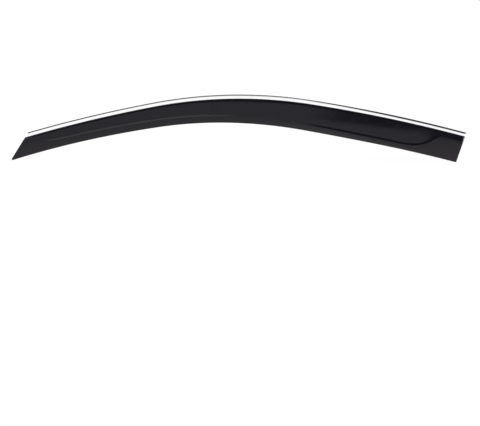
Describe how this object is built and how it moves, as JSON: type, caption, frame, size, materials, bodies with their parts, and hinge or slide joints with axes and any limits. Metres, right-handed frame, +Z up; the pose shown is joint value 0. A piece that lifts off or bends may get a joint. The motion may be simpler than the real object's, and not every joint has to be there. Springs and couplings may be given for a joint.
{
  "type": "window rain deflector",
  "caption": "Arched smoked-plastic rain deflector for the top of a car door's window, with a taped mounting flange, a bright trim strip and a flared blade with a formed panel.",
  "frame": {"origin": "on the back of the mounting tape, half-way up the flange at the crown of the arch", "axes": "+X along the deflector towards its rear end, +Y into the door, +Z up; the outer face looks to -Y"},
  "size_m": [1.0038, 0.0493, 0.1578],
  "materials": {
    "smoked_plastic": "dark smoked acrylic, polished",
    "bright_trim": "bright plated",
    "foam_tape": "closed-cell foam, matte"
  },
  "bodies": {
    "root": {"deflector_shell": "smoked_plastic", "chrome_trim": "bright_trim", "mounting_tape": "foam_tape"}
  },
  "joints": []
}
